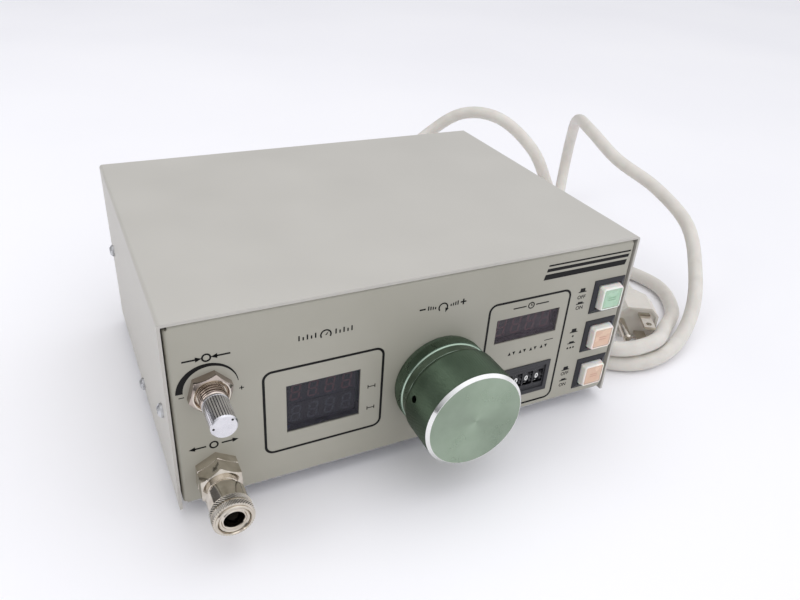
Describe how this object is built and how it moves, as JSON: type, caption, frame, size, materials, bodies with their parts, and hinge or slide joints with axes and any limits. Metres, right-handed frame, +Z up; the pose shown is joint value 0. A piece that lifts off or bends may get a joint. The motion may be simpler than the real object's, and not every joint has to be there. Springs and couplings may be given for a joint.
{
  "type": "fluid dispenser",
  "caption": "Bench-top pneumatic fluid dispenser: sheet-metal case with regulator knob, vacuum valve, air coupler, displays, thumbwheels, push buttons and mains cord.",
  "frame": {"origin": "on the standing plane, the soles of the feet, under the centre of the box round everything except the mains cord, its strain relief and its plug", "axes": "+X to the right as seen from the front, +Y from the front panel to the rear panel, +Z up"},
  "size_m": [0.3715, 0.2872, 0.093],
  "materials": {
    "cover": "pale warm grey enamel, satin",
    "panel": "warm grey enamel, satin",
    "base_plate": "zinc-plated sheet",
    "feet": "matt black rubber",
    "screws": "bright zinc-plated",
    "green_anodised": "green anodised, turned",
    "dark_screw": "black oxide",
    "turned_steel": "turned",
    "cast_body": "die-cast, blasted",
    "silver_knob": "turned, clear anodised",
    "brass": "turned",
    "nickel": "nickel-plated brass",
    "poppet": "moulded seal",
    "window": "dark filter plastic",
    "digits": "potted display blocks",
    "board": "green printed board",
    "black_gloss": "moulded",
    "wheel": "moulded",
    "bezel": "slate black, moulded",
    "green_cap": "pale green, translucent",
    "peach_cap": "pale peach, translucent",
    "dark_plastic": "moulded",
    "core": "varnished laminations",
    "winding": "insulating tape",
    "block": "anodised",
    "tube": "extruded polyurethane",
    "collar": "moulded",
    "bronze": "sintered",
    "socket": "turned",
    "cord": "soft flexible sheath",
    "plug": "moulded-on"
  },
  "bodies": {
    "case": {"cover": "cover", "front_panel": "panel", "rear_panel": "panel", "base_plate": "base_plate", "feet": "feet", "cover_screws": "screws", "base_screws": "screws", "regulator_body": "cast_body", "regulator_screws": "screws", "vacuum_nut": "nickel", "vacuum_valve_body": "nickel", "coupler_nut": "nickel", "coupler_body": "nickel", "pressure_window": "window", "pressure_digits": "digits", "pressure_board": "board", "time_window": "window", "time_digits": "digits", "time_board": "board", "thumbwheel_housing": "black_gloss", "thumbwheel_shaft": "turned_steel", "power_housing": "bezel", "mode_housing": "bezel", "shot_housing": "bezel", "contact_blocks": "dark_plastic", "transformer_core": "core", "transformer_winding": "winding", "main_board": "board", "board_parts": "dark_plastic", "board_standoffs": "brass", "valve_block": "block", "solenoids": "dark_plastic", "vacuum_generator": "dark_plastic", "air_tubes": "tube", "inlet_fitting": "nickel", "fuse_holder": "black_gloss", "foot_switch_socket": "socket", "silencer": "bronze", "cord_relief": "cord", "cord": "cord", "plug_body": "plug", "plug_blades": "nickel"},
    "regulator_knob": {"regulator_knob": "green_anodised", "knob_set_screw": "dark_screw", "regulator_stem": "turned_steel"},
    "lock_ring": {"lock_ring": "green_anodised"},
    "vacuum_knob": {"vacuum_knob": "silver_knob", "vacuum_stem": "brass"},
    "coupler_sleeve": {"coupler_sleeve": "nickel"},
    "coupler_poppet": {"coupler_poppet": "poppet"},
    "thumbwheel_1": {"thumbwheel_1": "wheel"},
    "thumbwheel_2": {"thumbwheel_2": "wheel"},
    "thumbwheel_3": {"thumbwheel_3": "wheel"},
    "thumbwheel_4": {"thumbwheel_4": "wheel"},
    "power_button": {"power_button": "green_cap"},
    "mode_button": {"mode_button": "peach_cap"},
    "shot_button": {"shot_button": "peach_cap"},
    "inlet_collar": {"inlet_collar": "collar"},
    "fuse_cap": {"fuse_cap": "black_gloss"}
  },
  "joints": [
    {"name": "regulator_turn", "type": "hinge", "parent": "case", "child": "regulator_knob", "pos_m": [0.007, -0.094, 0.0399], "axis": [0, 1, 0], "range_deg": [-720, 720]},
    {"name": "lock_ring_turn", "type": "hinge", "parent": "case", "child": "lock_ring", "pos_m": [0.007, -0.079, 0.0399], "axis": [0, 1, 0], "range_deg": [-45, 45]},
    {"name": "vacuum_turn", "type": "hinge", "parent": "case", "child": "vacuum_knob", "pos_m": [-0.0921, -0.088, 0.0612], "axis": [0, 1, 0], "range_deg": [-720, 720]},
    {"name": "coupler_sleeve_slide", "type": "slide", "parent": "case", "child": "coupler_sleeve", "axis": [0, 1, 0], "range_m": [0, 0.0035], "stiffness_N_per_m": 900, "springref_m": -0.002},
    {"name": "coupler_poppet_slide", "type": "slide", "parent": "case", "child": "coupler_poppet", "axis": [0, 1, 0], "range_m": [0, 0.003], "stiffness_N_per_m": 500, "springref_m": -0.002},
    {"name": "thumbwheel_1_turn", "type": "hinge", "parent": "case", "child": "thumbwheel_1", "pos_m": [0.0459, -0.0661, 0.0248], "axis": [1, 0, 0], "continuous": true},
    {"name": "thumbwheel_2_turn", "type": "hinge", "parent": "case", "child": "thumbwheel_2", "pos_m": [0.0519, -0.0661, 0.0248], "axis": [1, 0, 0], "continuous": true},
    {"name": "thumbwheel_3_turn", "type": "hinge", "parent": "case", "child": "thumbwheel_3", "pos_m": [0.0579, -0.0661, 0.0248], "axis": [1, 0, 0], "continuous": true},
    {"name": "thumbwheel_4_turn", "type": "hinge", "parent": "case", "child": "thumbwheel_4", "pos_m": [0.0639, -0.0661, 0.0248], "axis": [1, 0, 0], "continuous": true},
    {"name": "power_button_slide", "type": "slide", "parent": "case", "child": "power_button", "axis": [0, 1, 0], "range_m": [0, 0.003], "stiffness_N_per_m": 400, "springref_m": -0.002},
    {"name": "mode_button_slide", "type": "slide", "parent": "case", "child": "mode_button", "axis": [0, 1, 0], "range_m": [0, 0.003], "stiffness_N_per_m": 400, "springref_m": -0.002},
    {"name": "shot_button_slide", "type": "slide", "parent": "case", "child": "shot_button", "axis": [0, 1, 0], "range_m": [0, 0.003], "stiffness_N_per_m": 400, "springref_m": -0.002},
    {"name": "inlet_collar_slide", "type": "slide", "parent": "case", "child": "inlet_collar", "axis": [0, -1, 0], "range_m": [0, 0.0008], "stiffness_N_per_m": 800, "springref_m": -0.001},
    {"name": "fuse_cap_turn", "type": "hinge", "parent": "case", "child": "fuse_cap", "pos_m": [0.062, 0.091, 0.071], "axis": [0, 1, 0], "range_deg": [0, 90]}
  ]
}
